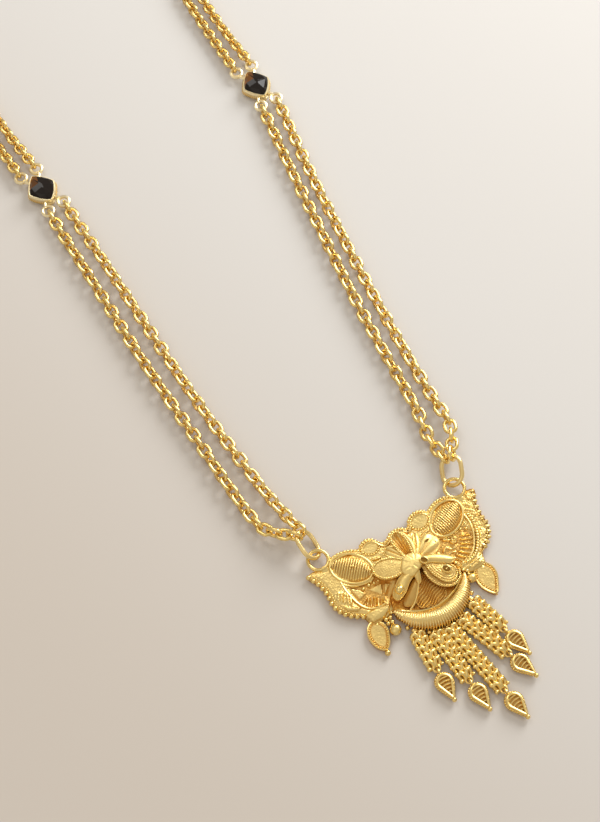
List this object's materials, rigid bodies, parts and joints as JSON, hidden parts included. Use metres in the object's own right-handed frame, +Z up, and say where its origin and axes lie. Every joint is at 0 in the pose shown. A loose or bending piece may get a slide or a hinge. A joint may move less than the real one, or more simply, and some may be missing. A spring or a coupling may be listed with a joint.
{
  "type": "two-strand pendant necklace",
  "caption": "Gold necklace laid flat: paired strands of cable chain, black stone stations and a crescent pendant with a flower and tassels.",
  "frame": {"origin": "under the middle of the whole loop, on the surface that it lies on", "axes": "+Y from the pendant to the clasp, +Z up from the surface, +X to the wearer's left"},
  "size_m": [0.095, 0.3004, 0.0046],
  "materials": {
    "satin_gold": "satin gold with fine stipple and darker recesses",
    "polished_gold": "polished gold wire",
    "chain_gold": "polished gold links",
    "black_stone": "black faceted stone, glossy"
  },
  "bodies": {
    "root": {"pendant_plate": "satin_gold", "tassel_chain_1": "chain_gold", "tassel_chain_2": "chain_gold", "tassel_chain_3": "chain_gold", "tassel_chain_4": "chain_gold", "tassel_chain_5": "chain_gold", "tassel_drop_1": "satin_gold", "tassel_drop_2": "satin_gold", "tassel_drop_3": "satin_gold", "tassel_drop_4": "satin_gold", "tassel_drop_5": "satin_gold", "jump_ring_left": "polished_gold", "jump_ring_right": "polished_gold", "front_chain_left_outer": "chain_gold", "front_chain_left_inner": "chain_gold", "front_chain_right_inner": "chain_gold", "front_chain_right_outer": "chain_gold", "setting_left": "polished_gold", "setting_right": "polished_gold", "stone_left": "black_stone", "stone_right": "black_stone", "back_chain_left_outer": "chain_gold", "back_chain_left_inner": "chain_gold", "back_chain_right_inner": "chain_gold", "back_chain_right_outer": "chain_gold", "end_ring_left": "polished_gold", "end_ring_right": "polished_gold", "clasp_hook": "polished_gold"}
  },
  "joints": []
}
